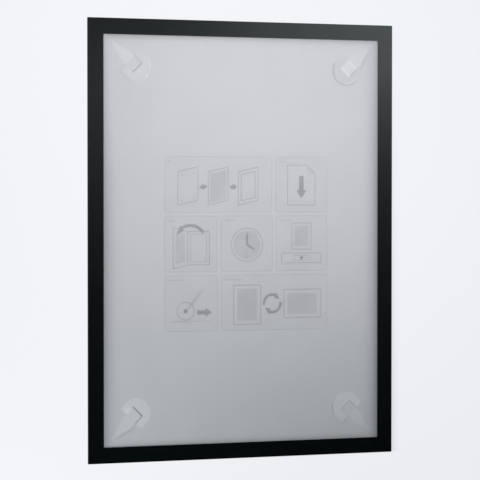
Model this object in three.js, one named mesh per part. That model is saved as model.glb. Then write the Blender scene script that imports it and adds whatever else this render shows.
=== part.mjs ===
// Magnetic wall frame for one document sheet, in millimetres.
// +Z is up, the front faces -Y, and the wall is the plane y = 0.
// The origin is the middle of the wall side. Depth is measured from the wall towards the front.
import * as THREE from 'three';

// Whole frame: an A3 sheet with room around it for the magnet strips
const FRAME_WIDTH = 325;
const FRAME_HEIGHT = 445;
const FRAME_CORNER_RADIUS = 0.8;

// Black front border, and the clear window film glued behind its inner edge
const BORDER_WIDTH = 16;
const BORDER_THICKNESS = 0.4;
const WINDOW_CORNER_RADIUS = 1;
const WINDOW_LAP = 4;
const WINDOW_THICKNESS = 0.2;

// Translucent rear film
const REAR_FILM_THICKNESS = 0.4;

// Flexible magnet strips along all four sides of both halves
const STRIP_THICKNESS = 0.7;
const STRIP_EDGE_INSET = 0.5;
const STRIP_WINDOW_CLEARANCE = 0.5;
const STRIP_END_GAP = 0.5;

// Folded hinge film on the left side, and the gap between the two closed halves
const HINGE_FILM_THICKNESS = 0.2;
const CLOSING_GAP = 0.1;

// Horseshoe adhesive pads behind the rear film, one near each corner, by the insets of their centres
const PAD_THICKNESS = 1.2;
const PAD_SIDE_INSET = 49.75;
const PAD_TOP_INSET = 47.5;
const PAD_BOTTOM_INSET = 49.25;
const PAD_RADIUS = 15.3;
const PAD_ARM_LENGTH = 8.5;
const PAD_ARM_FILLET = 1.5;
const PAD_SLOT_WIDTH = 13.9;
const PAD_SLOT_DEPTH = 11;

// Stretch-release block in each pad's slot
const BLOCK_CLEARANCE = 0.3;

// Leaf-shaped pull tab, creased where it leaves the block.
// Its sides bulge out beyond the root and then sweep in to the tip.
const TAB_THICKNESS = 0.3;
const TAB_LENGTH = 29.5;
const TAB_TIP_RADIUS = 1.3;
const TAB_SHOULDER_REACH = 6;
const TAB_SHOULDER_BULGE = 2.2;
const TAB_SWEEP_REACH = 12.5;
const TAB_SWEEP_BULGE = 1.3;
const TAB_FILM_CLEARANCE = 0.2;
const TAB_HINGE_GAP = 0.1;

// Steps along each curved stretch of an outline
const CURVE_STEPS = 14;

// Widths that follow from the border
const windowWidth = FRAME_WIDTH - 2 * BORDER_WIDTH;
const windowHeight = FRAME_HEIGHT - 2 * BORDER_WIDTH;
const stripWidth = BORDER_WIDTH - STRIP_EDGE_INSET - STRIP_WINDOW_CLEARANCE - WINDOW_LAP;
const hingeLeafWidth = STRIP_EDGE_INSET + stripWidth;

// Depths of the layers, from the wall to the front
const rearFilmDepth = PAD_THICKNESS;
const rearStripDepth = rearFilmDepth + REAR_FILM_THICKNESS;
const rearMeetingDepth = rearStripDepth + STRIP_THICKNESS;
const frontMeetingDepth = rearMeetingDepth + CLOSING_GAP;
const borderDepth = frontMeetingDepth + STRIP_THICKNESS;
const windowDepth = borderDepth - WINDOW_THICKNESS;
const tabDepth = PAD_THICKNESS - TAB_FILM_CLEARANCE - TAB_THICKNESS;

// The front half turns about the hinge film's crease, on the outer left edge between the halves
const hingeCrease = new THREE.Vector3(-FRAME_WIDTH / 2, -(rearMeetingDepth + CLOSING_GAP / 2), 0);

// Sizes of the corner fixings along the diagonal, from the pad's centre out to the frame's corner
const blockWidth = PAD_SLOT_WIDTH - 2 * BLOCK_CLEARANCE;
const blockLength = PAD_SLOT_DEPTH - BLOCK_CLEARANCE;
const tabRoot = PAD_ARM_LENGTH + TAB_HINGE_GAP;

const CORNERS = [
  { name: 'top_left', across: -1, up: 1 },
  { name: 'top_right', across: 1, up: 1 },
  { name: 'bottom_left', across: -1, up: -1 },
  { name: 'bottom_right', across: 1, up: -1 },
];

function finish(color, roughness, opacity = 1) {
  return new THREE.MeshStandardMaterial({
    color,
    roughness,
    metalness: 0,
    opacity,
    transparent: opacity < 1,
  });
}

const borderBlack = finish(0x0b0d0e, 0.42);
const windowClear = finish(0xdfe3e6, 0.3, 0.25);
const rearFilmGrey = finish(0xb4b7bb, 0.5, 0.8);
const magnetBrown = finish(0x2b2725, 0.8);
const hingeBlack = finish(0x121415, 0.55);
const padWhite = finish(0xd5d8da, 0.6);
const blockClear = finish(0xc9cdd0, 0.35);
const tabClear = finish(0xdcdfe2, 0.4, 0.7);

// A rectangle about the origin with rounded corners
function roundedRectangle(Outline, width, height, radius) {
  const right = width / 2 - radius;
  const top = height / 2 - radius;
  const outline = new Outline();
  outline.absarc(right, top, radius, 0, Math.PI / 2);
  outline.absarc(-right, top, radius, Math.PI / 2, Math.PI);
  outline.absarc(-right, -top, radius, Math.PI, 1.5 * Math.PI);
  outline.absarc(right, -top, radius, 1.5 * Math.PI, 2 * Math.PI);
  outline.closePath();
  return outline;
}

// A flat piece cut to an outline, x across and y up, with its wall-side face at a depth
function cutSheet(name, outline, depth, thickness, material) {
  const geometry = new THREE.ExtrudeGeometry(outline, {
    depth: thickness,
    bevelEnabled: false,
    curveSegments: CURVE_STEPS,
  });
  const mesh = new THREE.Mesh(geometry, material);
  mesh.name = name;
  mesh.rotation.x = Math.PI / 2;
  mesh.position.y = -depth;
  return mesh;
}

// A straight strip of film or magnet about a point on the frame, with its wall-side face at a depth
function strip(name, x, z, width, height, depth, thickness, material) {
  const mesh = new THREE.Mesh(new THREE.BoxGeometry(width, thickness, height), material);
  mesh.name = name;
  mesh.position.set(x, -depth - thickness / 2, z);
  return mesh;
}

function rearFilm() {
  const outline = roundedRectangle(THREE.Shape, FRAME_WIDTH, FRAME_HEIGHT, FRAME_CORNER_RADIUS);
  return cutSheet('rear_film', outline, rearFilmDepth, REAR_FILM_THICKNESS, rearFilmGrey);
}

function frontBorder() {
  const outline = roundedRectangle(THREE.Shape, FRAME_WIDTH, FRAME_HEIGHT, FRAME_CORNER_RADIUS);
  outline.holes.push(roundedRectangle(THREE.Path, windowWidth, windowHeight, WINDOW_CORNER_RADIUS));
  return cutSheet('front_border', outline, borderDepth, BORDER_THICKNESS, borderBlack);
}

function windowFilm() {
  return strip(
    'window_film',
    0,
    0,
    windowWidth + 2 * WINDOW_LAP,
    windowHeight + 2 * WINDOW_LAP,
    windowDepth,
    WINDOW_THICKNESS,
    windowClear,
  );
}

// The four magnet strips of one half. The side strips run the full height, and the top and bottom
// ones fit between them. The left strip is thinner by the hinge film that lies over it.
function magnetStrips(half, depth, leftDepth) {
  const sideX = FRAME_WIDTH / 2 - STRIP_EDGE_INSET - stripWidth / 2;
  const endZ = FRAME_HEIGHT / 2 - STRIP_EDGE_INSET - stripWidth / 2;
  const sideHeight = FRAME_HEIGHT - 2 * STRIP_EDGE_INSET;
  const endWidth = 2 * sideX - stripWidth - 2 * STRIP_END_GAP;
  const leftThickness = STRIP_THICKNESS - HINGE_FILM_THICKNESS;
  return [
    strip(`${half}_magnet_top`, 0, endZ, endWidth, stripWidth, depth, STRIP_THICKNESS, magnetBrown),
    strip(`${half}_magnet_bottom`, 0, -endZ, endWidth, stripWidth, depth, STRIP_THICKNESS, magnetBrown),
    strip(`${half}_magnet_left`, -sideX, 0, stripWidth, sideHeight, leftDepth, leftThickness, magnetBrown),
    strip(`${half}_magnet_right`, sideX, 0, stripWidth, sideHeight, depth, STRIP_THICKNESS, magnetBrown),
  ];
}

// One leaf of the folded hinge film, from the crease to the inner edge of the left magnet strip
function hingeLeaf(name, depth) {
  const x = hingeCrease.x + hingeLeafWidth / 2;
  return strip(name, x, 0, hingeLeafWidth, FRAME_HEIGHT, depth, HINGE_FILM_THICKNESS, hingeBlack);
}

// Horseshoe about the pad's centre: round towards the middle of the frame, with two straight arms
// towards the frame's corner and a square slot between them
function padOutline() {
  const slotSide = PAD_SLOT_WIDTH / 2;
  const slotEnd = PAD_ARM_LENGTH - PAD_SLOT_DEPTH;
  const filletX = PAD_ARM_LENGTH - PAD_ARM_FILLET;
  const filletY = PAD_RADIUS - PAD_ARM_FILLET;
  const outline = new THREE.Shape();
  outline.absarc(0, 0, PAD_RADIUS, Math.PI / 2, 1.5 * Math.PI);
  outline.absarc(filletX, -filletY, PAD_ARM_FILLET, 1.5 * Math.PI, 2 * Math.PI);
  outline.lineTo(PAD_ARM_LENGTH, -slotSide);
  outline.lineTo(slotEnd, -slotSide);
  outline.lineTo(slotEnd, slotSide);
  outline.lineTo(PAD_ARM_LENGTH, slotSide);
  outline.absarc(filletX, filletY, PAD_ARM_FILLET, 0, Math.PI / 2);
  outline.closePath();
  return outline;
}

// Leaf about its root: as wide as the block at the crease, ending in a rounded tip
function tabOutline() {
  const rootSide = blockWidth / 2;
  const tipCentre = TAB_LENGTH - TAB_TIP_RADIUS;
  const shoulderY = rootSide + TAB_SHOULDER_BULGE;
  const sweepX = tipCentre - TAB_SWEEP_REACH;
  const sweepY = TAB_TIP_RADIUS + TAB_SWEEP_BULGE;
  const outline = new THREE.Shape();
  outline.moveTo(0, -rootSide);
  outline.bezierCurveTo(TAB_SHOULDER_REACH, -shoulderY, sweepX, -sweepY, tipCentre, -TAB_TIP_RADIUS);
  outline.absarc(tipCentre, 0, TAB_TIP_RADIUS, -Math.PI / 2, Math.PI / 2);
  outline.bezierCurveTo(sweepX, sweepY, TAB_SHOULDER_REACH, shoulderY, 0, rootSide);
  outline.closePath();
  return outline;
}

// Pad, block and pull tab of one corner, in a group whose +X runs out to the frame's corner
function cornerFixing({ name, across, up }) {
  const fixing = new THREE.Group();
  const endInset = up > 0 ? PAD_TOP_INSET : PAD_BOTTOM_INSET;
  fixing.position.x = across * (FRAME_WIDTH / 2 - PAD_SIDE_INSET);
  fixing.position.z = up * (FRAME_HEIGHT / 2 - endInset);
  fixing.rotation.y = -Math.atan2(up, across);
  fixing.add(cutSheet(`adhesive_pad_${name}`, padOutline(), 0, PAD_THICKNESS, padWhite));

  const blockX = PAD_ARM_LENGTH - blockLength / 2;
  const blockName = `release_block_${name}`;
  fixing.add(strip(blockName, blockX, 0, blockLength, blockWidth, 0, PAD_THICKNESS, blockClear));

  const tabHinge = new THREE.Group();
  tabHinge.position.set(tabRoot, -tabDepth, 0);
  tabHinge.add(cutSheet(`pull_tab_${name}`, tabOutline(), 0, TAB_THICKNESS, tabClear));
  fixing.add(tabHinge);
  return fixing;
}

const rearHalf = new THREE.Group();
rearHalf.add(rearFilm());
rearHalf.add(...magnetStrips('rear', rearStripDepth, rearStripDepth));
rearHalf.add(hingeLeaf('hinge_leaf_rear', rearMeetingDepth - HINGE_FILM_THICKNESS));
rearHalf.add(...CORNERS.map(cornerFixing));

const frontHalf = new THREE.Group();
frontHalf.position.copy(hingeCrease).negate();
frontHalf.add(frontBorder());
frontHalf.add(windowFilm());
frontHalf.add(...magnetStrips('front', frontMeetingDepth, frontMeetingDepth + HINGE_FILM_THICKNESS));
frontHalf.add(hingeLeaf('hinge_leaf_front', frontMeetingDepth));

// Turning this group about Z by a negative angle opens the front
const frontHinge = new THREE.Group();
frontHinge.position.copy(hingeCrease);
frontHinge.add(frontHalf);

const documentFrame = new THREE.Group();
documentFrame.add(rearHalf, frontHinge);

export default documentFrame;
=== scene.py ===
"""Looks of a magnetic document frame: films, print, magnet strips, wall fixings and a plain stage."""
from math import cos, pi, radians, sin, sqrt

import bmesh
import bpy
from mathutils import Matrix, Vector


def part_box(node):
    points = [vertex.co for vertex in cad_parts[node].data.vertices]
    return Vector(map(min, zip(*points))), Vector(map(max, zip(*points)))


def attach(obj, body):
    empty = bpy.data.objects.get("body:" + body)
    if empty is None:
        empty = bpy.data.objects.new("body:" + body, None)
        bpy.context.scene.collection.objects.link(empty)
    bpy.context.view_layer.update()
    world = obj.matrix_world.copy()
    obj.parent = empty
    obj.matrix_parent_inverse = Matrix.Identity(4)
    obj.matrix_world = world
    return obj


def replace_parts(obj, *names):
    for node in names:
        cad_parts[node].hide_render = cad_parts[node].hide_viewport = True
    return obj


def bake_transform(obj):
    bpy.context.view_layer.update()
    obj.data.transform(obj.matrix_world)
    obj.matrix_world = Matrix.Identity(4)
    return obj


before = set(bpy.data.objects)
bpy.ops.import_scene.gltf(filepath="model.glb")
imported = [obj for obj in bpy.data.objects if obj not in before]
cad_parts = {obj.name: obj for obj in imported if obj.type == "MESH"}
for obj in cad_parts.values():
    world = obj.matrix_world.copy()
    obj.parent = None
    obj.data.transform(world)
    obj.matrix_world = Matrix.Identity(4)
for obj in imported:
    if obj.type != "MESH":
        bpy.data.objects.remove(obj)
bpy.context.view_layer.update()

MM = 0.001
BLACK = (0, 0, 0, 1)

# Camera, from the vanishing lines of the frame's edges
CAMERA_PLACE = (-0.6039, -1.8951, 0.0432)
CAMERA_YAW = radians(17.60)
CAMERA_PITCH = radians(-1.24)
CAMERA_LENS = 146.1
SENSOR_WIDTH = 36.0

# Faces of the frame, from the solids
FRONT_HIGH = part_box("front_border")[1]
HALF_WIDTH = FRONT_HIGH.x
HALF_HEIGHT = FRONT_HIGH.z
BORDER_WIDTH = 16 * MM
WINDOW_HALF_WIDTH = HALF_WIDTH - BORDER_WIDTH
WINDOW_HALF_HEIGHT = HALF_HEIGHT - BORDER_WIDTH
FILM_FRONT_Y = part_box("rear_film")[0].y

# Wall fixings, as in the solids
PAD_SIDE_INSET = 49.75 * MM
PAD_TOP_INSET = 47.5 * MM
PAD_BOTTOM_INSET = 49.25 * MM
PAD_RADIUS = 15.3 * MM
PAD_ARM_LENGTH = 8.5 * MM
PAD_ARM_FILLET = 1.5 * MM
PAD_SLOT_WIDTH = 13.9 * MM
PAD_SLOT_DEPTH = 11 * MM
BLOCK_CLEARANCE = 0.3 * MM
BLOCK_SIDE = PAD_SLOT_WIDTH / 2 - BLOCK_CLEARANCE
BLOCK_NEAR = PAD_ARM_LENGTH - PAD_SLOT_DEPTH + BLOCK_CLEARANCE
BLOCK_FAR = PAD_ARM_LENGTH
TAB_HINGE_GAP = 0.1 * MM
TAB_ROOT = PAD_ARM_LENGTH + TAB_HINGE_GAP
TAB_LENGTH = 29.5 * MM
TAB_TIP_RADIUS = 1.3 * MM
TAB_SHOULDER_REACH = 6 * MM
TAB_SHOULDER_BULGE = 2.2 * MM
TAB_SWEEP_REACH = 12.5 * MM
TAB_SWEEP_BULGE = 1.3 * MM
TAB_ROWS = 36
TAB_TIP_ROWS = 8
TAB_TIP_END = 0.08
TAB_COLUMNS = 8
FILM_CONTACT_GAP = 0.05 * MM

CORNERS = {
    "top_left": (-1, 1),
    "top_right": (1, 1),
    "bottom_left": (-1, -1),
    "bottom_right": (1, -1),
}

# Softened edges of the sheets, strips and fixings
BORDER_ROUNDING = 0.1 * MM
WINDOW_ROUNDING = 0.04 * MM
REAR_FILM_ROUNDING = 0.1 * MM
MAGNET_ROUNDING = 0.12 * MM
HINGE_ROUNDING = 0.05 * MM
PAD_ROUNDING = 0.25 * MM
BLOCK_ROUNDING = 0.35 * MM
TAB_ROUNDING = 0.08 * MM
ROUNDED_ANGLE = radians(50)
SHARP_ANGLE = radians(35)
WELD_DISTANCE = 0.001 * MM

# Range that a noise mostly stays in
NOISE_RANGE = (0.3, 0.7)

# Window film: share that it mirrors when seen square on, and what a slant adds
WINDOW_MIRROR = 0.03
SLANT_MIRROR = 0.9
SLANT_POWER = 5.0

# Rear film: its grey, with a painted tint of the light low down and one above, and painted shade where it
# loses light behind the border
FILM_GREY = 0.585
LOW_TINT = (0.9675, 1.0, 1.023)
HIGH_TINT = (1.01, 1.0, 1.029)
TINT_RISE = (-160 * MM, 0)
FILM_MOTTLE = (0.98, 1.02, 1.05)
COVERED_SHADE = 0.5
COVER_FADE = 2 * MM

# Painted shade inside the window's edges, for light lost there: power, then reach and share, each up to
# half height and at the top
EDGE_SHADES = {
    "left": (2.9, (24 * MM, 10 * MM), (0.48, 0.27)),
    "right": (2.9, (24 * MM, 24 * MM), (0.48, 0.31)),
    "top": (2.9, (12 * MM, 12 * MM), (0.36, 0.36)),
    "bottom": (1.5, (8 * MM, 8 * MM), (0.2, 0.2)),
}

# Painted shine-through: shares of the film's grey over the pad, block and tab, and in each tone of line,
# above one a painted highlight and below it painted shade
FILM_SHARES = {
    "top_left": (1.05, 1.03, 1.095),
    "top_right": (0.955, 1.085, 1.05),
    "bottom_left": (1.14, 1.12, 1.11),
    "bottom_right": (1.115, 1.05, 1.08),
}
# Tones above one are painted highlights, below one painted shade
LIGHT_LINE_SHARES = {"faint": 0.9, "soft": 0.74, "light": 1.24, "bright": 1.36, "firm": 0.62, "dark": 0.48}
PAD_HEIGHT = 0.1 * MM
TAB_HEIGHT = 0.03 * MM
CONTACT_SLOPE = 0.8 * MM
TAB_SHADE_ROWS = (4, 30)
SINK = 0.1 * MM

# Print: line drawings in panels, in millimetres, and layers of ink between two shares of the film's grey
PRINT_CENTRE = (4 * MM, -3.5 * MM)
PRINT_WIDTH = 174
PRINT_HEIGHT = 177
PANEL_GAP = 4
PANEL_RADIUS = 4
PANEL_HEIGHT = (PRINT_HEIGHT - 2 * PANEL_GAP) / 3
NARROW_PANEL = 56
WIDE_PANEL = PRINT_WIDTH - NARROW_PANEL - PANEL_GAP
THIRD_PANEL = (PRINT_WIDTH - 2 * PANEL_GAP) / 3
LINE_WIDTH = 0.9
THIN_WIDTH = 0.6
PIP_INSET = (5, 4.5)
PIP_STEP = 2.6
PIP_RADIUS = 0.8
PIP_SIDES = 12
LAYER = 0.02 * MM
INK_LAYERS = {"wash": 1, "shade": 2, "line": 3, "dark": 4}
INK_SHARES = {"line": (0.66, 0.76), "wash": (0.96, 1.0), "shade": (0.8, 0.92), "dark": (0.53, 0.63)}

# Block arrows, in widths of their shaft: the head's length and the reach of its barbs
ARROW_HEAD = 1.7
ARROW_BARB = 1.15
ROUND_ARROW_BARB = 1.2
ROUND_ARROW_HEAD_SHARE = 0.28

# Stage, with a painted fall of light across the wall and a painted shadow beside the frame
WALL_Y = 0.3 * MM
FLOOR_Z = -1.0
WALL_HALF = 3.0
WALL_TOP = 2.0
WALL_SPAN = (-0.25, 0.3)
WALL_GLOW = (0.815, 0.795)
WALL_WHITE = (0.985, 0.993, 1.027, 1)
WALL_SHADOW_REACH = 12 * MM
WALL_SHADOW_POWER = 2.0
WALL_SHADOW = (0.28, 0)
WALL_SHADOW_END = 2 * MM
FLOOR_HALF = 4.0
FLOOR_PALE = (0.86, 0.87, 0.88, 1)
FLOOR_FADE = (2.0, 4.0)
FLOOR_LIFT = 0.4
WORLD_WHITE = (0.97, 0.985, 1.0, 1)
FRONT_FILL = 0.128
BACK_FILL = 0.85
FILL_TURN = 0.1

# Lamps: place, aim, size, spread and watts of a soft box from the upper left, and of a low one
LAMPS = {
    "key": ((-0.64, -1.4, 0.3), (0.06, 0, 0.157), 0.4, radians(41), 1.5),
    "low": ((-0.3, -1.2, -0.6), (-0.3, 0, -0.35), 0.3, radians(28), 0.4),
}

# Sheet that is mirrored: a ceiling that comes up and fades again, and a bright box at the right
SCRIM_RADIUS = 2.8
SCRIM_LOW = -5.0
SCRIM_HIGH = 4.0
CEILING_RISE = (-0.97, 0.54)
CEILING_POWER = 4.7
CEILING_FADE = (0.36, 0.49)
CEILING_GLOW = (0.875, 0.19)
BOX_SIDE = (0.64, 1.13)
BOX_RISE = (0.185, 0.425)
BOX_GLOW = 1.77
SCRIM_TINT = (0.905, 1.0, 1.03, 1)


class Paint:
    """Node tree of a material or a world, with short calls that add and join nodes."""

    def __init__(self, name, kind="materials"):
        self.owner = getattr(bpy.data, kind).new(name)
        self.owner.use_nodes = True
        self.nodes = self.owner.node_tree.nodes
        self.links = self.owner.node_tree.links
        self.nodes.clear()

    def add(self, kind, inputs=None, **settings):
        node = self.nodes.new("ShaderNode" + kind)
        for key, value in settings.items():
            setattr(node, key, value)
        for key, value in (inputs or {}).items():
            if isinstance(value, bpy.types.NodeSocket):
                self.links.new(value, node.inputs[key])
            else:
                node.inputs[key].default_value = value
        return node

    def place(self):
        """The point in the piece's own frame, in metres."""
        return self.add("TexCoord").outputs["Object"]

    def split(self):
        """The same point as X, Y and Z."""
        return self.add("SeparateXYZ", {0: self.place()}).outputs

    def math(self, operation, first, second=0.0, third=0.0):
        inputs = {0: first, 1: second, 2: third}
        return self.add("Math", inputs, operation=operation).outputs[0]

    def noise(self, size, detail=2.0, stretch=(1, 1, 1)):
        """Noise with features of about that size, stretched along the axes."""
        mapped = self.add("Mapping", {"Vector": self.place(), "Scale": [1 / s for s in stretch]})
        inputs = {"Vector": mapped.outputs[0], "Scale": 1 / size, "Detail": detail}
        return self.add("TexNoise", inputs).outputs["Fac"]

    def remap(self, value, low, high, to_low, to_high, curve="SMOOTHSTEP"):
        inputs = {0: value, 1: low, 2: high, 3: to_low, 4: to_high}
        return self.add("MapRange", inputs, interpolation_type=curve).outputs[0]

    def spread(self, noise, low, high):
        """Noise, over the range that it mostly stays in, as a value from low to high."""
        return self.remap(noise, *NOISE_RANGE, low, high)

    def blend(self, share, first, second):
        """Colour between first, at share 0, and second, at share 1."""
        inputs = {0: share, 6: first, 7: second}
        return self.add("Mix", inputs, data_type="RGBA").outputs[2]

    def bump(self, height, depth, strength):
        inputs = {"Height": height, "Distance": depth, "Strength": strength}
        return self.add("Bump", inputs).outputs[0]

    def surface(self, **inputs):
        return self.add("BsdfPrincipled", {k.replace("_", " "): v for k, v in inputs.items()}).outputs[0]

    def mix(self, share, first, second):
        return self.add("MixShader", {0: share, 1: first, 2: second}).outputs[0]

    def finish(self, shader, output="OutputMaterial"):
        self.add(output, {"Surface": shader})
        return self.owner


def grey(value, cool=0.0):
    """Grey with that share more blue in it."""
    return (value, value * (1 + cool / 2), value * (1 + cool), 1)


def film_greys(paint, *shares):
    """The rear film's cool grey, made darker or lighter by each share, with a painted tint of the light
    that is greener low down.
    """
    rise = paint.remap(paint.split()["Z"], *TINT_RISE, 0, 1)
    greys = []
    for share in shares:
        low, high = ((*(FILM_GREY * share * k for k in tint), 1) for tint in (LOW_TINT, HIGH_TINT))
        greys.append(paint.blend(rise, low, high))
    return greys


def border_paint():
    """Satin black film, a little paler along its cut edge."""
    paint = Paint("border_black_film")
    grain = paint.noise(0.35 * MM, 3)
    broad = paint.noise(40 * MM)
    tone = paint.blend(grain, (0.0014, 0.0028, 0.0031, 1), (0.0027, 0.0048, 0.0051, 1))
    place = paint.split()
    from_sides = paint.math("SUBTRACT", HALF_WIDTH, paint.math("ABSOLUTE", place["X"]))
    from_ends = paint.math("SUBTRACT", HALF_HEIGHT, paint.math("ABSOLUTE", place["Z"]))
    wear = paint.remap(paint.math("MINIMUM", from_sides, from_ends), 0, 0.6 * MM, 0.35, 0)
    worn = paint.blend(paint.math("MULTIPLY", wear, grain), tone, grey(0.03, 0.1))
    rough = paint.math("ADD", paint.spread(grain, 0.13, 0.16), paint.spread(broad, 0, 0.03))
    normal = paint.bump(grain, 0.004 * MM, 0.3)
    return paint.finish(paint.surface(Base_Color=worn, Roughness=rough, Normal=normal))


def window_paint():
    """Clear anti-glare film: see-through, faintly hazy, with a soft mirror that grows at a slant."""
    paint = Paint("window_clear_film")
    grain = paint.noise(0.25 * MM)
    cloud = paint.noise(60 * MM)
    normal = paint.bump(grain, 0.003 * MM, 0.3)
    milk = paint.blend(cloud, grey(0.62), grey(0.7))
    haze = paint.surface(Base_Color=milk, Roughness=0.5, Normal=normal)
    gloss_rough = paint.spread(grain, 0.26, 0.32)
    gloss = paint.surface(Base_Color=grey(0.98), Metallic=1.0, Roughness=gloss_rough, Normal=normal)
    clear = paint.add("BsdfTransparent", {"Color": grey(0.984, 0.006)}).outputs[0]
    body = paint.mix(paint.spread(cloud, 0.008, 0.014), clear, haze)
    slant = paint.add("LayerWeight", {"Blend": 0.5}).outputs["Facing"]
    steep = paint.math("POWER", slant, SLANT_POWER)
    mirror = paint.math("MULTIPLY_ADD", steep, SLANT_MIRROR, WINDOW_MIRROR)
    return paint.finish(paint.mix(mirror, body, gloss))


def edge_shades(paint):
    """Share of painted shade near the window's edges and behind the border, for the light that is lost
    there.
    """
    place = paint.split()
    inside = {
        "left": paint.math("ADD", WINDOW_HALF_WIDTH, place["X"]),
        "right": paint.math("SUBTRACT", WINDOW_HALF_WIDTH, place["X"]),
        "top": paint.math("SUBTRACT", WINDOW_HALF_HEIGHT, place["Z"]),
        "bottom": paint.math("ADD", WINDOW_HALF_HEIGHT, place["Z"]),
    }
    most = 0.0
    for edge, (power, reaches, shares) in EDGE_SHADES.items():
        reach = paint.remap(place["Z"], 0, HALF_HEIGHT, *reaches)
        share = paint.remap(place["Z"], 0, HALF_HEIGHT, *shares)
        nearness = paint.math("POWER", paint.remap(inside[edge], 0, reach, 1, 0, "LINEAR"), power)
        covered = paint.remap(inside[edge], -COVER_FADE, 0, COVERED_SHADE, 0)
        shade = paint.math("MAXIMUM", paint.math("MULTIPLY", nearness, share), covered)
        most = paint.math("MAXIMUM", most, shade)
    return most


def film_tone(paint, share=1.0):
    """Mottled grey of the rear film, with painted shade behind the window's edges, and its fibre."""
    fibre = paint.noise(1.2 * MM, 4, (1, 1, 3))
    cloud = paint.noise(45 * MM, 3)
    low, high, light = film_greys(paint, *(k * share for k in FILM_MOTTLE))
    mottled = paint.blend(paint.spread(cloud, 0, 0.5), paint.blend(fibre, low, high), light)
    return paint.blend(edge_shades(paint), mottled, BLACK), fibre


def rear_film_paint():
    paint = Paint("rear_grey_film")
    tone, fibre = film_tone(paint)
    rough = paint.spread(fibre, 0.42, 0.5)
    normal = paint.bump(fibre, 0.008 * MM, 0.3)
    return paint.finish(paint.surface(Base_Color=tone, Roughness=rough, Normal=normal))


def painted_light_film_paint(name, share):
    """Rear film in a painted tone, for a fixing behind it shining through and for painted highlight and
    shade lines along its edges.
    """
    paint = Paint(name)
    tone, fibre = film_tone(paint, share)
    rough = paint.spread(fibre, 0.34, 0.42)
    return paint.finish(paint.surface(Base_Color=tone, Roughness=rough))


def ink_paint(name, dark, light):
    """Ink between two shares of the film's grey, in specks and soft clouds."""
    paint = Paint(name)
    speck = paint.noise(0.5 * MM, 3)
    cloud = paint.noise(25 * MM)
    uneven = paint.remap(paint.math("ADD", speck, cloud), 0.75, 1.25, 0, 1)
    tone = paint.blend(uneven, *film_greys(paint, dark, light))
    rough = paint.spread(speck, 0.4, 0.55)
    return paint.finish(paint.surface(Base_Color=tone, Roughness=rough))


def magnet_paint():
    """Matt rubber full of magnet powder, with dusty clouds."""
    paint = Paint("magnet_rubber")
    speck = paint.noise(0.3 * MM, 4)
    cloud = paint.noise(14 * MM, 3)
    tone = paint.blend(speck, (0.014, 0.0125, 0.0115, 1), (0.042, 0.038, 0.035, 1))
    dusty = paint.blend(paint.remap(cloud, 0.45, 0.7, 0, 0.35), tone, (0.075, 0.07, 0.066, 1))
    rough = paint.spread(cloud, 0.55, 0.75)
    normal = paint.bump(speck, 0.03 * MM, 0.5)
    return paint.finish(paint.surface(Base_Color=dusty, Roughness=rough, Normal=normal))


def hinge_paint():
    """Black film, with a painted highlight along the crease where it folds."""
    paint = Paint("hinge_black_film")
    grain = paint.noise(0.3 * MM, 3, (1, 1, 4))
    tone = paint.blend(grain, (0.006, 0.0065, 0.007, 1), (0.014, 0.015, 0.016, 1))
    from_crease = paint.math("ADD", paint.split()["X"], HALF_WIDTH)
    fold_highlight = paint.remap(from_crease, 0, 1.2 * MM, 0.6, 0)
    fold_highlighted = paint.blend(paint.math("MULTIPLY", fold_highlight, grain), tone, grey(0.08, 0.06))
    rough = paint.spread(grain, 0.38, 0.5)
    normal = paint.bump(grain, 0.01 * MM, 0.4)
    return paint.finish(paint.surface(Base_Color=fold_highlighted, Roughness=rough, Normal=normal))


def gel_paint():
    """Milky gel with fine bubbles."""
    paint = Paint("adhesive_gel")
    cell_inputs = {"Vector": paint.place(), "Scale": 1 / (0.9 * MM)}
    cell = paint.add("TexVoronoi", cell_inputs).outputs["Distance"]
    cloud = paint.noise(5 * MM, 3)
    tone = paint.blend(cloud, (0.66, 0.68, 0.69, 1), (0.8, 0.81, 0.81, 1))
    bubbled = paint.blend(paint.remap(cell, 0, 0.5, 0.25, 0), tone, (0.9, 0.91, 0.92, 1))
    rough = paint.spread(cloud, 0.32, 0.48)
    normal = paint.bump(cell, 0.04 * MM, 0.4)
    soft = {"Subsurface_Weight": 0.2, "Subsurface_Scale": 1 * MM}
    return paint.finish(paint.surface(Base_Color=bubbled, Roughness=rough, Normal=normal, **soft))


def block_paint():
    """Glossy elastic with soft waves."""
    paint = Paint("release_block_elastic")
    cloud = paint.noise(3 * MM, 3, (1, 1, 2))
    tone = paint.blend(cloud, (0.5, 0.52, 0.535, 1), (0.66, 0.675, 0.685, 1))
    rough = paint.spread(cloud, 0.16, 0.28)
    normal = paint.bump(cloud, 0.05 * MM, 0.3)
    return paint.finish(paint.surface(Base_Color=tone, Roughness=rough, Normal=normal))


def tab_paint():
    """Milky film with a fibre along its length."""
    paint = Paint("tab_milky_film")
    fibre = paint.noise(0.8 * MM, 3, (1, 1, 3))
    cloud = paint.noise(9 * MM)
    tone = paint.blend(fibre, (0.74, 0.76, 0.775, 1), (0.83, 0.845, 0.855, 1))
    clouded = paint.blend(paint.spread(cloud, 0, 0.3), tone, (0.9, 0.91, 0.92, 1))
    rough = paint.spread(fibre, 0.3, 0.42)
    normal = paint.bump(fibre, 0.012 * MM, 0.3)
    return paint.finish(paint.surface(Base_Color=clouded, Roughness=rough, Normal=normal))


def bevel(piece, width, segments):
    soft = piece.modifiers.new("soft_edge", "BEVEL")
    soft.width = width
    soft.segments = segments
    soft.limit_method = "ANGLE"
    soft.angle_limit = ROUNDED_ANGLE


def dress_node(node, paint, rounding):
    """Gives a CAD node its material and a softened cut edge."""
    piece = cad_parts[node]
    piece.data.materials.clear()
    piece.data.materials.append(paint)
    weld = piece.modifiers.new("weld", "WELD")
    weld.merge_threshold = WELD_DISTANCE
    bevel(piece, rounding, 2)


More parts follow.
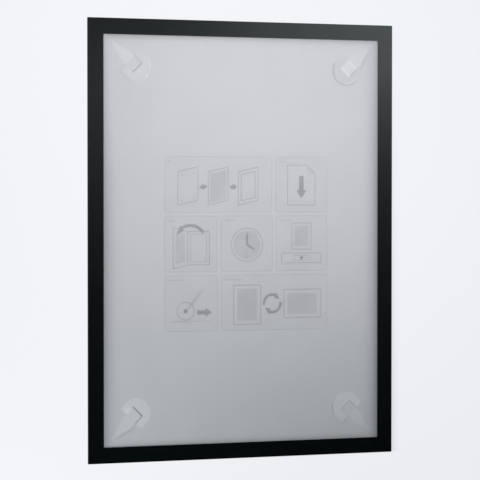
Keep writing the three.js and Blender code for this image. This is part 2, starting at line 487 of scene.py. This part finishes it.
def link_mesh(name, bm, paint):
    mesh = bpy.data.meshes.new(name)
    bm.to_mesh(mesh)
    bm.free()
    mesh.materials.append(paint)
    piece = bpy.data.objects.new(name, mesh)
    bpy.context.scene.collection.objects.link(piece)
    return piece


def new_piece(name, bm, paint):
    """Closed piece with its faces turned outwards."""
    bmesh.ops.recalc_face_normals(bm, faces=bm.faces)
    return link_mesh(name, bm, paint)


def on_film(name, bm, paint):
    """Piece that lies on the rear film."""
    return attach(new_piece(name, bm, paint), "rear_half")


def round_rims(piece, rounding, segments=3):
    bevel(piece, rounding, segments)
    piece.data.shade_smooth()
    piece.data.set_sharp_from_angle(angle=SHARP_ANGLE)


def arc(centre, radius, start, end, steps=16):
    """Points along a round stretch, both ends included. Angles are in quarter turns."""
    turns = [start + (end - start) * i / steps for i in range(steps + 1)]
    return [(centre[0] + radius * cos(t * pi / 2), centre[1] + radius * sin(t * pi / 2)) for t in turns]


def polar(centre, radius, turn):
    """Point at an angle in quarter turns."""
    return arc(centre, radius, turn, turn, 1)[0]


def bezier(a, b, c, d, steps=20):
    """Points along a cubic curve, both ends included."""
    points = []
    for i in range(steps + 1):
        t = i / steps
        weights = ((1 - t) ** 3, 3 * t * (1 - t) ** 2, 3 * t * t * (1 - t), t ** 3)
        points.append(tuple(sum(w * p[k] for w, p in zip(weights, (a, b, c, d))) for k in (0, 1)))
    return points


def pad_outline(inset=0.0):
    """Horseshoe about the pad's centre, with the first axis towards the frame's corner."""
    radius = PAD_RADIUS - inset
    slot = PAD_SLOT_WIDTH / 2 + inset
    arm = PAD_ARM_LENGTH - inset
    slot_end = PAD_ARM_LENGTH - PAD_SLOT_DEPTH - inset
    fillet = PAD_ARM_FILLET
    points = arc((0, 0), radius, 1, 3, 40)
    points += arc((arm - fillet, fillet - radius), fillet, 3, 4, 6)
    points += [(arm, -slot), (slot_end, -slot), (slot_end, slot), (arm, slot)]
    points += arc((arm - fillet, radius - fillet), fillet, 0, 1, 6)
    return points


def block_outline(inset=0.0):
    return rectangle(BLOCK_NEAR + inset, inset - BLOCK_SIDE, BLOCK_FAR - inset, BLOCK_SIDE - inset)


def tab_half_widths(inset=0.0):
    """Points along one side of the leaf-shaped tab, from its root to its slightly blunt tip."""
    root_side = BLOCK_SIDE - inset
    tip_radius = TAB_TIP_RADIUS - inset
    tip_centre = TAB_LENGTH - TAB_TIP_RADIUS
    shoulder = (TAB_SHOULDER_REACH, root_side + TAB_SHOULDER_BULGE)
    sweep = (tip_centre - TAB_SWEEP_REACH, tip_radius + TAB_SWEEP_BULGE)
    side = bezier((0, root_side), shoulder, sweep, (tip_centre, tip_radius), TAB_ROWS)
    return side + arc((tip_centre, 0), tip_radius, 1, TAB_TIP_END, TAB_TIP_ROWS)[1:]


def tab_outline(inset=0.0):
    side = [(TAB_ROOT + along, half) for along, half in tab_half_widths(inset)]
    return side + [(along, -half) for along, half in reversed(side)]


def rectangle(left, bottom, right, top):
    return [(left, bottom), (right, bottom), (right, top), (left, top)]


def rounded(left, bottom, right, top, radius):
    points = []
    centres = rectangle(left + radius, bottom + radius, right - radius, top - radius)
    for turn, centre in enumerate(centres):
        points += arc(centre, radius, turn + 2, turn + 3, 6)
    return points


def circle(centre, radius, steps=28):
    return arc(centre, radius, 0, 4, steps)[:-1]


def corner_point(corner, point, y=0.0):
    """Point of a corner's own plan, whose first axis runs out to the frame's corner."""
    across, up = CORNERS[corner]
    out = Vector((across, 0, up)) / sqrt(2)
    side = Vector((-out.z, 0, out.x))
    end_inset = PAD_TOP_INSET if up > 0 else PAD_BOTTOM_INSET
    centre = Vector((across * (HALF_WIDTH - PAD_SIDE_INSET), y, up * (HALF_HEIGHT - end_inset)))
    return centre + out * point[0] + side * point[1]


def corner_plan(corner, points):
    """Points of a corner's own plan as points across and up the frame."""
    places = [corner_point(corner, p) for p in points]
    return [(place.x, place.z) for place in places]


def prism(bm, bottom, top):
    """Closed solid between two rings of as many points."""
    low = [bm.verts.new(p) for p in bottom]
    high = [bm.verts.new(p) for p in top]
    bm.faces.new(low)
    bm.faces.new(reversed(high))
    for i in range(len(low)):
        j = (i + 1) % len(low)
        bm.faces.new((low[i], high[i], high[j], low[j]))


def rails(points, width, closed):
    """Both sides of a line of that width, mitred where it bends."""
    places = [Vector(p) for p in points]
    last = len(places) - 1
    left, right = [], []
    for i, here in enumerate(places):
        steps = []
        if closed or i > 0:
            steps.append((here - places[i - 1]).normalized())
        if closed or i < last:
            steps.append((places[(i + 1) % len(places)] - here).normalized())
        along = sum(steps, Vector((0, 0))).normalized()
        across = Vector((-along.y, along.x))
        reach = width / 2 / max(0.5, along.dot(steps[0]))
        left.append(here + across * reach)
        right.append(here - across * reach)
    return left, right


def add_line(bm, points, width, height, closed=False):
    """Thin closed strip that follows a line on the rear film's face."""
    left, right = rails(points, width, closed)
    front, back = FILM_FRONT_Y - height, FILM_FRONT_Y + SINK
    rows = []
    for a, b in zip(left, right):
        ring = ((a, front), (b, front), (b, back), (a, back))
        rows.append([bm.verts.new((p.x, y, p.y)) for p, y in ring])
    pairs = list(zip(rows, rows[1:]))
    if closed:
        pairs.append((rows[-1], rows[0]))
    else:
        bm.faces.new(rows[0])
        bm.faces.new(reversed(rows[-1]))
    for a, b in pairs:
        for k in range(4):
            m = (k + 1) % 4
            bm.faces.new((a[k], a[m], b[m], b[k]))


def add_patch(bm, points, height):
    """Thin closed plate with that outline on the rear film's face."""
    prism(
        bm,
        [(x, FILM_FRONT_Y + SINK, z) for x, z in points],
        [(x, FILM_FRONT_Y - height, z) for x, z in points],
    )


def films_and_strips():
    dress_node("front_border", border_paint(), BORDER_ROUNDING)
    dress_node("window_film", window_paint(), WINDOW_ROUNDING)
    dress_node("rear_film", rear_film_paint(), REAR_FILM_ROUNDING)
    magnet, hinge = magnet_paint(), hinge_paint()
    for half in ("rear", "front"):
        for side in ("top", "bottom", "left", "right"):
            dress_node(f"{half}_magnet_{side}", magnet, MAGNET_ROUNDING)
        dress_node(f"hinge_leaf_{half}", hinge, HINGE_ROUNDING)


def fixing_solid(name, node, corner, outline, paint, rounding):
    """Piece behind the film, with rounded rims, in place of its plain solid."""
    low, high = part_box(node)
    bm = bmesh.new()
    prism(
        bm,
        [corner_point(corner, p, low.y + FILM_CONTACT_GAP) for p in outline],
        [corner_point(corner, p, high.y) for p in outline],
    )
    piece = new_piece(name, bm, paint)
    round_rims(piece, rounding)
    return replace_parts(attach(piece, "rear_half"), node)


def pull_tab(corner, paint):
    """Film leaf in rows across its length, from its root to its tip."""
    low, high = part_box(f"pull_tab_{corner}")
    steps = TAB_COLUMNS
    bm = bmesh.new()
    sheets = []
    for y in (low.y, high.y):
        rows = []
        for along, half in tab_half_widths():
            points = [(TAB_ROOT + along, half * (2 * k / steps - 1)) for k in range(steps + 1)]
            rows.append([bm.verts.new(corner_point(corner, p, y)) for p in points])
        sheets.append(rows)
    front, back = sheets
    last = len(front) - 1
    for i in range(last):
        for k in range(steps):
            for rows in sheets:
                bm.faces.new((rows[i][k], rows[i][k + 1], rows[i + 1][k + 1], rows[i + 1][k]))
        for k in (0, steps):
            bm.faces.new((front[i][k], front[i + 1][k], back[i + 1][k], back[i][k]))
    for i in (0, last):
        for k in range(steps):
            bm.faces.new((front[i][k], front[i][k + 1], back[i][k + 1], back[i][k]))
    piece = new_piece(f"tab_leaf_{corner}", bm, paint)
    round_rims(piece, TAB_ROUNDING, 2)
    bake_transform(piece)
    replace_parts(piece, f"pull_tab_{corner}")


def fixings():
    gel, block, tab = gel_paint(), block_paint(), tab_paint()
    for corner in CORNERS:
        pad_node = f"adhesive_pad_{corner}"
        pad = fixing_solid(f"gel_pad_{corner}", pad_node, corner, pad_outline(), gel, PAD_ROUNDING)
        block_node = f"release_block_{corner}"
        anchor_name = f"anchor_block_{corner}"
        anchor = fixing_solid(anchor_name, block_node, corner, block_outline(), block, BLOCK_ROUNDING)
        pull_tab(corner, tab)


def film_bulge(name, corner, outline, height, share):
    """Low plateau with sloping sides on the rear film, over a fixing, in the film's grey painted lighter
    or darker as the fixing shows through.
    """
    bm = bmesh.new()
    prism(
        bm,
        [corner_point(corner, p, FILM_FRONT_Y + SINK) for p in outline()],
        [corner_point(corner, p, FILM_FRONT_Y - height) for p in outline(CONTACT_SLOPE)],
    )
    on_film(name, bm, painted_light_film_paint(name, share))


def block_edges(*corners):
    """Line along the block, through its corners: n or f for near or far, a or b for its sides."""
    ends, sides = {"n": BLOCK_NEAR, "f": BLOCK_FAR}, {"a": BLOCK_SIDE, "b": -BLOCK_SIDE}
    return [(ends[end], sides[side]) for end, side in corners]


def pad_rim(start, end, inset=0.0):
    """Line along the pad's round side, from angle to angle in quarter turns."""
    return arc((0, 0), PAD_RADIUS - inset, start, end)


def arm_end(side, inset=0.0):
    """Line across the end of one of the pad's arms."""
    end = PAD_ARM_LENGTH - inset
    return [(end, side * PAD_SLOT_WIDTH / 2), (end, side * (PAD_RADIUS - PAD_ARM_FILLET))]


def arm_side(rim_end):
    """Line round the pad's first arm, from its slot to an angle on the round side."""
    fillet = PAD_ARM_FILLET
    corner = arc((PAD_ARM_LENGTH - fillet, PAD_RADIUS - fillet), fillet, 0, 1, 6)
    return [(PAD_ARM_LENGTH, PAD_SLOT_WIDTH / 2), *corner, *pad_rim(1, rim_end)]


def tab_side(side, offset):
    """Line along one side of the tab, that far outside its edge, clear of its root and its tip."""
    first, last = TAB_SHADE_ROWS
    rows = tab_half_widths()[first:last]
    return [(TAB_ROOT + along, side * (half + offset)) for along, half in rows]


def painted_light_lines():
    """Painted highlight and shade lines along the fixings' edges, among them painted shadows beside the
    tabs: tone, width in millimetres and path.
    """
    lip = 1 * MM
    block_lip = BLOCK_SIDE - lip
    slot_end = BLOCK_NEAR - lip
    arm_highlight_line = -(BLOCK_SIDE + 1.7 * MM)
    highlight_inset = 2.3 * MM
    highlight_end = 5 * MM
    return {
        "top_left": (
            ("firm", 0.9, block_edges("na", "nb")),
            ("soft", 0.6, block_edges("nb", "fb")),
            ("faint", 1.8, arm_side(1.35)),
            ("bright", 0.8, pad_rim(1.95, 2.2)),
            ("light", 0.7, pad_rim(2.35, 2.9)),
        ),
        "top_right": (
            ("light", 1.8, block_edges("na", "nb")),
            ("light", 1.3, block_edges("fa", "fb")),
            ("soft", 1.2, block_edges("nb", "fb")),
            ("soft", 1.5, pad_rim(1.15, 2.35)),
            ("soft", 0.8, pad_rim(2.4, 3.0)),
            ("light", 0.7, [*pad_rim(2.5, 3.0, highlight_inset), (highlight_end, highlight_inset - PAD_RADIUS)]),
            ("faint", 4.0, tab_side(-1, 2 * MM)),
        ),
        "bottom_left": (
            ("dark", 1.1, block_edges("na", "nb")),
            ("firm", 0.9, block_edges("na", "fa")),
            ("light", 0.7, [(BLOCK_NEAR + lip, block_lip), (BLOCK_FAR, block_lip)]),
            ("light", 4.5, [(0, arm_highlight_line), (PAD_ARM_LENGTH - lip, arm_highlight_line)]),
            ("faint", 3.0, tab_side(1, 1.5 * MM)),
        ),
        "bottom_right": (
            ("soft", 0.7, block_edges("nb", "na", "fa")),
            ("light", 0.9, [(slot_end, -BLOCK_SIDE), (slot_end, BLOCK_SIDE)]),
            ("light", 1.2, arm_end(1, lip)),
            ("light", 1.0, arm_end(-1, lip)),
            ("soft", 0.8, arm_end(-1, -0.8 * MM)),
            ("soft", 0.8, pad_rim(2.25, 2.8)),
        ),
    }


def shine_through():
    """The fixings painted on the rear film as they show through it, with painted highlight and shade
    lines along their edges.
    """
    paints = {}
    layers = {}
    for level, (tone, share) in enumerate(LIGHT_LINE_SHARES.items(), 1):
        paints[tone] = painted_light_film_paint(f"painted_line_{tone}", share)
        layers[tone] = PAD_HEIGHT + LAYER * level
    light_lines = painted_light_lines()
    for corner, (pad, block, tab) in FILM_SHARES.items():
        film_bulge(f"film_over_pad_{corner}", corner, pad_outline, PAD_HEIGHT, pad)
        film_bulge(f"film_over_block_{corner}", corner, block_outline, PAD_HEIGHT, block)
        film_bulge(f"film_over_tab_{corner}", corner, tab_outline, TAB_HEIGHT, tab)
        sheets = {}
        for tone, width, path in light_lines[corner]:
            sheet = sheets.setdefault(tone, bmesh.new())
            add_line(sheet, corner_plan(corner, path), width * MM, layers[tone])
        for tone, bm in sheets.items():
            on_film(f"painted_line_{tone}_{corner}", bm, paints[tone])


class Pen:
    """Draws one panel, in millimetres from its lower left corner."""

    def __init__(self, sheets, left, bottom):
        self.sheets = sheets
        self.left = left
        self.bottom = bottom

    def place(self, points):
        corner_x = PRINT_CENTRE[0] + (self.left - PRINT_WIDTH / 2) * MM
        corner_z = PRINT_CENTRE[1] + (self.bottom - PRINT_HEIGHT / 2) * MM
        return [(corner_x + x * MM, corner_z + y * MM) for x, y in points]

    def line(self, points, width=LINE_WIDTH, tone="line", closed=False):
        add_line(self.sheets[tone], self.place(points), width * MM, LAYER * INK_LAYERS[tone], closed)

    def fill(self, points, tone):
        add_patch(self.sheets[tone], self.place(points), LAYER * INK_LAYERS[tone])

    def arrow(self, tail, tip, width=3.2):
        """Straight block arrow."""
        start, end = Vector(tail), Vector(tip)
        along = (end - start).normalized()
        across = Vector((-along.y, along.x))
        neck = end - along * width * ARROW_HEAD
        half = across * width / 2
        barb = across * width * ARROW_BARB
        head = [neck - barb, end, neck + barb]
        self.fill([start - half, neck - half, *head, neck + half, start + half], "dark")

    def curved_arrow(self, centre, radius, start, end, width=3.0):
        """Round block arrow. Angles are in quarter turns."""
        neck = end - (end - start) * ROUND_ARROW_HEAD_SHARE
        half = width / 2
        barb = width * ROUND_ARROW_BARB
        outer = arc(centre, radius + half, start, neck, 14)
        barbs = [polar(centre, radius + reach, neck) for reach in (barb, -barb)]
        head = [barbs[0], polar(centre, radius, end), barbs[1]]
        inner = arc(centre, radius - half, neck, start, 14)
        self.fill(outer + head + inner, "dark")


def draw_layers(pen):
    """Frame taken apart: rear film, sheet and front, one behind the other."""
    rear, sheet, front = 14, 46, 78
    for x in (rear, sheet, front):
        pen.line([(x, 7), (x + 21, 12), (x + 21, 46), (x, 41)], closed=True)
    for dx, y in ((4, 12), (17, 15), (4, 37), (17, 40)):
        pen.fill(circle((rear + dx, y), 1.7), "shade")
    pen.fill([(sheet + 2, 10), (sheet + 19, 14), (sheet + 19, 43), (sheet + 2, 39)], "shade")
    pen.line([(front + 3, 11.5), (front + 18, 15), (front + 18, 41.5), (front + 3, 38)], closed=True)
    pen.arrow((37, 25), (45, 26.5), 3.0)
    pen.arrow((69, 25), (77, 26.5), 3.0)


def draw_sheet(pen):
    """Sheet with a folded corner, slid down."""
    pen.line([(13, 7), (43, 7), (43, 39), (34, 48), (13, 48)], closed=True)
    pen.fill([(34, 48), (34, 39), (43, 39)], "shade")
    pen.arrow((28, 37), (28, 14), 5.0)


def draw_door(pen):
    """Front swung open to the left."""
    pen.line(rectangle(24, 7, 47, 41), closed=True)
    pen.line(rectangle(27, 10, 44, 38), THIN_WIDTH, closed=True)
    pen.line([(23, 6.7), (9, 3), (9, 45), (23, 41.3)])
    pen.fill([(21.5, 10), (11.5, 7.5), (11.5, 41), (21.5, 38)], "shade")
    pen.curved_arrow((27, 31), 16, 0.35, 1.75)


def draw_clock(pen):
    """Clock: a short wait."""
    centre, radius = (28, 27), 17
    pen.line(circle(centre, radius), closed=True)
    pen.fill(circle(centre, radius - 2.5), "shade")
    for turn in range(4):
        pen.line([polar(centre, radius - 3, turn), polar(centre, radius - 6, turn)])
    pen.line([(28, 38), centre, (36, 22)], 2.4, "dark")


def draw_level(pen):
    """Spirit level under an upright frame."""
    pen.line(rounded(6, 8, 49, 18, 2), closed=True)
    pen.line(rounded(18, 10.5, 37, 15.5, 2.4), THIN_WIDTH, closed=True)
    pen.fill(circle((27.5, 13), 1.9), "dark")
    pen.line(rectangle(17, 22, 38, 49), closed=True)
    pen.fill(rectangle(20, 25, 35, 46), "shade")


def draw_roller(pen):
    """Roller run along a strip to press it down."""
    pen.line([(6, 10), (50, 10)], 1.6, "shade")
    pen.line(circle((22, 20.5), 9), closed=True)
    pen.fill(circle((22, 20.5), 2.2), "dark")
    pen.line([(24.5, 23), (40, 42)], 3.2, "shade")
    pen.arrow((34, 19), (50, 19), 4.2)


def draw_turn(pen):
    """Frame used upright or on its side."""
    pen.line(rectangle(13, 6, 42, 46), closed=True)
    pen.fill(rectangle(17, 10, 38, 42), "shade")
    pen.line(rectangle(67, 12, 107, 41), closed=True)
    pen.fill(rectangle(71, 16, 103, 37), "shade")
    pen.curved_arrow((54.5, 27), 9, 2.1, 0.3, 2.8)
    pen.curved_arrow((54.5, 27), 9, 0.1, -1.7, 2.8)


PANEL_ROWS = (
    ((NARROW_PANEL, draw_roller), (WIDE_PANEL, draw_turn)),
    ((THIRD_PANEL, draw_door), (THIRD_PANEL, draw_clock), (THIRD_PANEL, draw_level)),
    ((WIDE_PANEL, draw_layers), (NARROW_PANEL, draw_sheet)),
)


def print_on_film():
    """Panels from the bottom row up, each with as many pips as its step's number."""
    paints = {tone: ink_paint(f"print_{tone}_grey", *shares) for tone, shares in INK_SHARES.items()}
    sheets = {tone: bmesh.new() for tone in paints}
    panels_above = sum(len(row) for row in PANEL_ROWS)
    for level, row in enumerate(PANEL_ROWS):
        left, bottom = 0, level * (PANEL_HEIGHT + PANEL_GAP)
        panels_above -= len(row)
        for step, (width, draw) in enumerate(row, panels_above + 1):
            pen = Pen(sheets, left, bottom)
            panel = rounded(0, 0, width, PANEL_HEIGHT, PANEL_RADIUS)
            pen.fill(panel, "wash")
            pen.line(panel, tone="shade", closed=True)
            for pip in range(step):
                place = (PIP_INSET[0] + PIP_STEP * pip, PANEL_HEIGHT - PIP_INSET[1])
                pen.fill(circle(place, PIP_RADIUS, PIP_SIDES), "line")
            draw(pen)
            left += width + PANEL_GAP
    for tone, bm in sheets.items():
        on_film(f"print_{tone}", bm, paints[tone])


def stage_sheet(name, corners, material):
    bm = bmesh.new()
    bm.faces.new([bm.verts.new(c) for c in corners])
    sheet = link_mesh(name, bm, material)
    return sheet


def contact_shadow(paint, place):
    """Painted shadow: share of the wall's glow taken away beside the frame's right edge, more towards the
    bottom.
    """
    beside = paint.math("SUBTRACT", place["X"], HALF_WIDTH)
    closeness = paint.remap(beside, 0, WALL_SHADOW_REACH, 1, 0, "LINEAR")
    nearness = paint.math("POWER", closeness, WALL_SHADOW_POWER)
    on_right = paint.math("MULTIPLY", nearness, paint.math("GREATER_THAN", place["X"], 0.0))
    depth = paint.remap(place["Z"], -HALF_HEIGHT, HALF_HEIGHT, *WALL_SHADOW, "LINEAR")
    past_end = paint.math("SUBTRACT", paint.math("ABSOLUTE", place["Z"]), HALF_HEIGHT)
    within = paint.remap(past_end, -WALL_SHADOW_END, WALL_SHADOW_END, 1, 0)
    return paint.math("MULTIPLY", paint.math("MULTIPLY", on_right, depth), within)


def wall_backdrop():
    """White wall just behind the pads, seen only from the front, so that the back can be looked at."""
    paint = Paint("wall_white")
    matt = paint.add("BsdfDiffuse", {"Color": grey(0.1, 0.04)}).outputs[0]
    place = paint.split()
    # Painted fall of light, a little darker towards the right
    painted_falloff = paint.remap(place["X"], *WALL_SPAN, *WALL_GLOW)
    strength = paint.math("MULTIPLY", painted_falloff, paint.math("SUBTRACT", 1.0, contact_shadow(paint, place)))
    glow = paint.add("Emission", {"Color": WALL_WHITE, "Strength": strength}).outputs[0]
    white = paint.add("AddShader", {0: matt, 1: glow}).outputs[0]
    behind = paint.add("NewGeometry").outputs["Backfacing"]
    clear = paint.add("BsdfTransparent").outputs[0]
    material = paint.finish(paint.mix(behind, white, clear))
    material.cycles.emission_sampling = "NONE"
    plan = rectangle(-WALL_HALF, FLOOR_Z, WALL_HALF, WALL_TOP)
    wall = stage_sheet("wall", [(x, WALL_Y, z) for x, z in plan], material)
    wall.visible_diffuse = False
    wall.visible_shadow = False
    wall.visible_glossy = False


def floor():
    """Pale floor, lifted to near white only where the camera sees it, and faded into white far out."""
    paint = Paint("floor_pale")
    seen = paint.add("LightPath").outputs["Is Camera Ray"]
    matt = paint.add("BsdfDiffuse", {"Color": FLOOR_PALE}).outputs[0]
    glow = paint.add("Emission", {"Strength": paint.math("MULTIPLY", seen, FLOOR_LIFT)}).outputs[0]
    pale = paint.add("AddShader", {0: matt, 1: glow}).outputs[0]
    far_out = paint.add("VectorMath", {0: paint.place()}, operation="LENGTH").outputs["Value"]
    fade = paint.math("MULTIPLY", seen, paint.remap(far_out, *FLOOR_FADE, 0, 1))
    clear = paint.add("BsdfTransparent").outputs[0]
    material = paint.finish(paint.mix(fade, pale, clear))
    material.cycles.emission_sampling = "NONE"
    plan = rectangle(-FLOOR_HALF, -FLOOR_HALF, FLOOR_HALF, FLOOR_HALF)
    ground = stage_sheet("floor", [(x, y, FLOOR_Z) for x, y in plan], material)
    ground.visible_glossy = False


def reflection_scrim():
    """Half-round sheet in front that only reflections see: dark below, bright above and to the right."""
    paint = Paint("scrim_gradient")
    place = paint.split()
    rise = paint.math("POWER", paint.remap(place["Z"], *CEILING_RISE, 0, 1), CEILING_POWER)
    ceiling = paint.math("MULTIPLY", rise, paint.remap(place["Z"], *CEILING_FADE, *CEILING_GLOW))
    box_side = paint.remap(place["X"], *BOX_SIDE, 0, BOX_GLOW)
    box_rise = paint.remap(place["Z"], *BOX_RISE, 0, 1)
    strength = paint.math("MULTIPLY_ADD", box_side, box_rise, ceiling)
    glow = paint.add("Emission", {"Color": SCRIM_TINT, "Strength": strength}).outputs[0]
    material = paint.finish(glow)
    material.cycles.emission_sampling = "NONE"
    bm = bmesh.new()
    columns = []
    for x, y in arc((0, 0), SCRIM_RADIUS, 2, 4, 48):
        columns.append([bm.verts.new((x, y, z)) for z in (SCRIM_LOW, SCRIM_HIGH)])
    for a, b in zip(columns, columns[1:]):
        bm.faces.new((a[0], a[1], b[1], b[0]))
    scrim = link_mesh("scrim", bm, material)
    scrim.visible_camera = False
    scrim.visible_diffuse = False
    scrim.visible_transmission = False
    scrim.visible_shadow = False


def soft_box(name, place, aim, size, spread, watts):
    lamp = bpy.data.lights.new(name, "AREA")
    lamp.shape = "SQUARE"
    lamp.size = size
    lamp.spread = spread
    lamp.energy = watts
    light = bpy.data.objects.new(name, lamp)
    light.location = place
    light.rotation_mode = "QUATERNION"
    light.rotation_quaternion = (Vector(aim) - Vector(place)).to_track_quat("-Z", "Y")
    light.visible_camera = False
    light.visible_glossy = False
    bpy.context.scene.collection.objects.link(light)


def studio_world():
    """White where it is seen or mirrored. As light, it is dim in front, where the lamps add to it."""
    paint = Paint("studio", "worlds")
    path = paint.add("LightPath").outputs
    seen = paint.math("MAXIMUM", path["Is Camera Ray"], path["Is Transmission Ray"])
    seen_or_mirrored = paint.math("MAXIMUM", seen, path["Is Glossy Ray"])
    direction = paint.add("TexCoord").outputs["Generated"]
    backwards = paint.add("SeparateXYZ", {0: direction}).outputs["Y"]
    fill = paint.remap(backwards, -FILL_TURN, FILL_TURN, FRONT_FILL, BACK_FILL, "LINEAR")
    strength = paint.remap(seen_or_mirrored, 0, 1, fill, 1, "LINEAR")
    light = paint.add("Background", {"Color": WORLD_WHITE, "Strength": strength}).outputs[0]
    world = paint.finish(light, "OutputWorld")
    world.cycles.sampling_method = "NONE"
    bpy.context.scene.world = world


def stage():
    studio_world()
    wall_backdrop()
    floor()
    reflection_scrim()
    for name, settings in LAMPS.items():
        soft_box(name, *settings)


def camera():
    lens = bpy.data.cameras.new("camera")
    lens.sensor_width = SENSOR_WIDTH
    lens.lens = CAMERA_LENS
    eye = bpy.data.objects.new("camera", lens)
    eye.location = CAMERA_PLACE
    level = cos(CAMERA_PITCH)
    ahead = Vector((sin(CAMERA_YAW) * level, cos(CAMERA_YAW) * level, sin(CAMERA_PITCH)))
    eye.rotation_mode = "QUATERNION"
    eye.rotation_quaternion = ahead.to_track_quat("-Z", "Y")
    bpy.context.scene.collection.objects.link(eye)
    bpy.context.scene.camera = eye


camera()
films_and_strips()
fixings()
shine_through()
print_on_film()
stage()
bpy.context.scene.view_settings.view_transform = "Standard"
